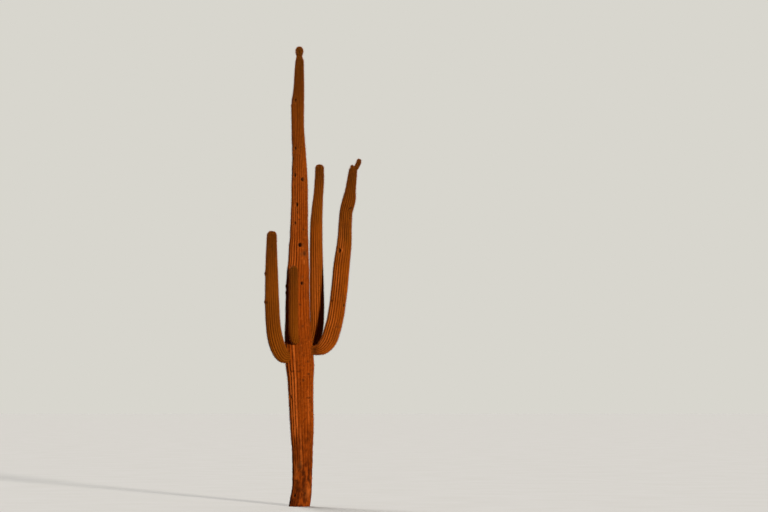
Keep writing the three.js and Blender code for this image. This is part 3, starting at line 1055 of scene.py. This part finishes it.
# How much a pattern changes
STREAK_SHARE = 0.8
FLECK_SHARE = 0.8
CORK_SHARE = 0.85
CALLUS_STOPS = [(0.3, 0.0), (0.5, 0.6)]
DARK_STOPS = [(0.22, 0.0), (0.34, 0.3), (0.7, 0.6), (0.95, 1.0)]
SPECK_COLOUR = colour(78, 26, 4)
FLECK_COLOUR = colour(186, 92, 30)
# pale skin, and the painted highlight on some crests
PALE_AND_HIGHLIGHT_COLOUR = colour(200, 104, 38)
CALLUS_COLOUR = colour(104, 56, 22)
# near black: dark marks, and painted shade in holes, under the arms and on some edges
DARK_COLOUR = colour(24, 7, 3)


def skin_material(name, colours):
    """Waxy skin, darker in the furrows as painted shade and paler along the crests, with bark,
    scars and some painted shade and highlights.
    """
    shader = Shader(name, roughness=0.85, specular=0.03, matte=0.6)

    def pattern(kind, stops):
        return shader.ramp(shader.noise(*kind), stops)

    def ragged(attribute, kind, share):
        sway = shader.share(shader.maths("SUBTRACT", shader.noise(*kind), 0.5), share)
        return shader.maths("ADD", shader.attribute(attribute), sway)

    # from the painted shade of the furrows to the pale crests
    stops = [(0.05, colours["furrow"]), (0.5, colours["flank"]), (0.95, colours["crest"])]
    skin = shader.ramp(ragged("crest", *RAGGED_CRESTS), stops)
    skin = shader.mix(1.0, skin, pattern(*PATCHES), "MULTIPLY")
    skin = shader.mix(STREAK_SHARE, skin, pattern(*STREAKS), "MULTIPLY")
    specks = shader.share(pattern(*SPECKS), colours["flecks"])
    skin = shader.mix(specks, skin, SPECK_COLOUR)
    flecks = shader.share(pattern(*FLECKS), FLECK_SHARE * colours["flecks"])
    skin = shader.mix(flecks, skin, FLECK_COLOUR)
    tints = [(place, (*tint, 1)) for place, tint in colours["young"]]
    skin = shader.mix(1.0, skin, shader.ramp(shader.attribute("young"), tints), "MULTIPLY")
    cork = shader.share(shader.attribute("cork"), CORK_SHARE)
    skin = shader.mix(cork, skin, pattern(*BARK))
    # pale marks, and painted highlights on some crests
    pale = shader.share(shader.attribute("pale"), pattern(*MOTTLES))
    skin = shader.mix(pale, skin, PALE_AND_HIGHLIGHT_COLOUR)
    callus = shader.ramp(ragged("callus", *TEARS), CALLUS_STOPS)
    skin = shader.mix(callus, skin, CALLUS_COLOUR)
    # dark marks, and painted shade in holes, at the right arm's root and on the trunk
    dark = shader.ramp(ragged("dark", *TEARS), DARK_STOPS)
    skin = shader.mix(dark, skin, DARK_COLOUR)
    shader.bump(shader.noise(*PORES), PORE_DEPTH)
    return shader.paint(skin)


# Tones of the felt pads and the spines: each is dealt out over many small pieces, the first
# ones to older skin and the last ones to younger skin
FELT_TONES = {
    "felt_umber": colour(84, 40, 8),
    "felt_grey": colour(102, 54, 14),
    "felt_tan": colour(116, 60, 10),
    "felt_gold": colour(128, 70, 14),
}
SPINE_TONES = {
    "spine_grey": colour(122, 64, 20),
    "spine_brown": colour(88, 40, 6),
    "spine_rust": colour(140, 62, 10),
    "spine_straw": colour(158, 82, 18),
    "spine_pale": colour(184, 104, 34),
}
# Where in a list of tones the usual one lies, and by how many they differ from it
OLDEST_TONE = 0.35
YOUNGEST_TONE = 0.7
TONE_SPREAD = 0.9
TONE_SPECULAR = 0.06


def tone_materials(tones, roughness):
    """A plain material for each tone."""
    materials = []
    for name, base in tones.items():
        material = bpy.data.materials.new(name)
        material.use_nodes = True
        bsdf = material.node_tree.nodes["Principled BSDF"]
        bsdf.inputs["Base Color"].default_value = base
        bsdf.inputs["Roughness"].default_value = roughness
        bsdf.inputs["Specular IOR Level"].default_value = TONE_SPECULAR
        materials.append(material)
    return materials


def deal_tones(count, youth, rng):
    """A tone's number for each small piece: low ones where youth is 0, high ones where it is 1."""
    middle = (count - 1) * (OLDEST_TONE + (YOUNGEST_TONE - OLDEST_TONE) * youth)
    dealt = np.rint(middle + rng.normal(0, TONE_SPREAD, middle.shape))
    return np.clip(dealt, 0, count - 1).astype(int)


# The plant


def dress():
    """Makes every visible piece and sets it on the frame."""
    limbs = make_limbs()
    trunk_skin = skin_material("weathered_skin", TRUNK_COLOURS)
    arm_skin = skin_material("arm_skin", ARM_COLOURS)
    felt = tone_materials(FELT_TONES, roughness=0.95)
    needles = tone_materials(SPINE_TONES, roughness=0.7)
    for name, limb in limbs.items():
        is_trunk = name == "trunk"
        skin = make_skin(limb, trunk_skin if is_trunk else arm_skin)
        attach(skin, "root")
        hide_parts(*(("trunk",) if is_trunk else ARMS[name]["replaces"]))
        rng = np.random.default_rng(limb.seed)
        spots = areoles_of(limb, neighbours(name, limbs), rng)
        pads = make_pads(name + "_felt_pads", spots, felt, rng)
        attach(pads, "root")
        for part, chosen in spine_groups(name, spots):
            group = {key: values[chosen] for key, values in spots.items()}
            spines = make_spines(f"{name}_spines{part}", group, needles, rng)
            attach(spines, "root")


def neighbours(name, limbs):
    """The limbs that cover some of this limb's skin where they meet."""
    if name == "trunk":
        return [limbs[arm] for arm in ARMS if arm not in BUDS]
    return [limbs["right_arm" if name in BUDS else "trunk"]]


def spine_groups(name, spots):
    """The trunk's spines are joined in a lower and an upper piece, an arm's in one."""
    if name != "trunk":
        return [("", np.full(len(spots["place"]), True))]
    lower = spots["place"][:, 2] < SPINE_SPLIT
    return [("_lower", lower), ("_upper", ~lower)]


# Stage, light and camera

CAMERA_DISTANCE = 64.22
CAMERA_HEIGHT = 2.32
CAMERA_YAW = 1.637  # degrees to the right
CAMERA_PITCH = 2.77  # degrees up
LENS = 138.6  # mm, on a 36 mm wide sensor
CLIP = (0.5, 1000)
FLOOR_HALF = 400.0
FLOOR_LUMPS = 1.5
FLOOR_STOPS = [(0.3, colour(225, 225, 223)), (0.7, colour(229, 229, 228))]
FLOOR_LIGHT = colour(96, 74, 54)  # what the floor throws back onto the plant
FILL = (colour(226, 224, 220), 0.048)  # colour and strength of the surround's light
SEEN = (colour(216, 214, 206), 1.0)  # and of what the camera sees of it


def make_stage():
    """A plain pale floor."""
    corners = [(-1, -1), (1, -1), (1, 1), (-1, 1)]
    places = [(FLOOR_HALF * x, FLOOR_HALF * y, 0) for x, y in corners]
    shader = Shader("pale_floor", roughness=0.9, specular=0.0)
    pale = shader.ramp(shader.noise(FLOOR_LUMPS, 3), FLOOR_STOPS)
    seen = shader.tree.nodes.new("ShaderNodeLightPath").outputs["Is Camera Ray"]
    material = shader.paint(shader.mix(seen, FLOOR_LIGHT, pale))
    floor = make_mesh("floor", places, [0, 1, 2, 3], [4], False, [material])


# Soft lights: name, direction from the front towards the right, height, both in degrees,
# strength, how wide they are in degrees, and tint
LIGHTS = [
    ("key", 20.5, 8, 4.35, 4, (1.0, 0.93, 0.84)),
    ("back", 202, 30, 3.0, 30, (1.0, 0.97, 0.93)),
    ("top", 180, 80, 0.6, 50, (1.0, 0.97, 0.93)),
]


def make_lights():
    """A low soft sun from the front right, and weak ones from behind and above."""
    for name, azimuth, elevation, strength, angle, tint in LIGHTS:
        light = bpy.data.lights.new(name, "SUN")
        light.energy = strength
        light.angle = math.radians(angle)
        light.color = tint
        lamp = add_object(name, light)
        lamp.rotation_euler = (math.radians(90 - elevation), 0, math.radians(azimuth))


def make_surround():
    """A pale surround that gives only a weak fill light."""
    world = bpy.data.worlds.new("surround")
    world.use_nodes = True
    nodes, links = world.node_tree.nodes, world.node_tree.links
    fill = nodes["Background"]
    seen = nodes.new("ShaderNodeBackground")
    for node, (tint, strength) in ((fill, FILL), (seen, SEEN)):
        node.inputs["Color"].default_value = tint
        node.inputs["Strength"].default_value = strength
    path = nodes.new("ShaderNodeLightPath")
    mix = nodes.new("ShaderNodeMixShader")
    links.new(path.outputs["Is Camera Ray"], mix.inputs["Fac"])
    links.new(fill.outputs["Background"], mix.inputs[1])
    links.new(seen.outputs["Background"], mix.inputs[2])
    links.new(mix.outputs["Shader"], nodes["World Output"].inputs["Surface"])
    bpy.context.scene.world = world


def make_camera():
    data = bpy.data.cameras.new("camera")
    data.lens = LENS
    data.clip_start, data.clip_end = CLIP
    camera = add_object("camera", data)
    camera.location = (0, -CAMERA_DISTANCE, CAMERA_HEIGHT)
    camera.rotation_euler = (math.radians(90 + CAMERA_PITCH), 0, math.radians(-CAMERA_YAW))
    bpy.context.scene.camera = camera


dress()
make_stage()
make_lights()
make_surround()
make_camera()
bpy.context.scene.view_settings.view_transform = "Standard"
